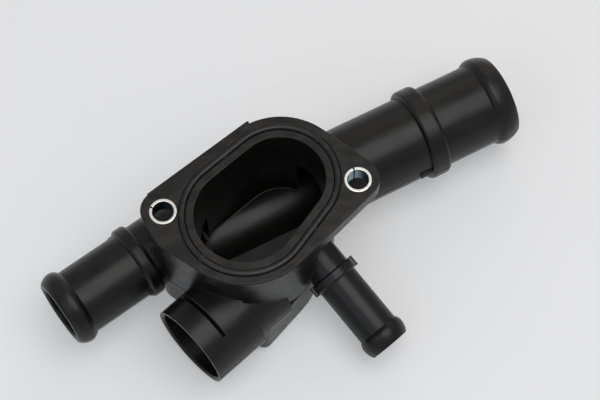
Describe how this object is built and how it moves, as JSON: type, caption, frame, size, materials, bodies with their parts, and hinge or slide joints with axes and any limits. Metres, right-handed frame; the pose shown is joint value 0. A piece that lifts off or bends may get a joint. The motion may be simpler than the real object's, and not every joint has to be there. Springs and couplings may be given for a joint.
{
  "type": "coolant flange",
  "caption": "Moulded plastic coolant outlet with a bolted oval flange, rubber seal, hose spigots to three sides and a clip-in sensor socket.",
  "frame": {"origin": "midway between the two bolt holes, on the flange face", "axes": "+X along the bolt line towards the large hose spigot, +Y away from the sensor socket, +Z out of the flange face"},
  "size_m": [0.1701, 0.0995, 0.0488],
  "materials": {
    "housing_plastic": "satin",
    "seal_rubber": "matt",
    "sleeve_steel": "zinc plated"
  },
  "bodies": {
    "root": {"flange_housing": "housing_plastic", "oval_seal": "seal_rubber", "sleeve_left": "sleeve_steel", "sleeve_right": "sleeve_steel"}
  },
  "joints": []
}
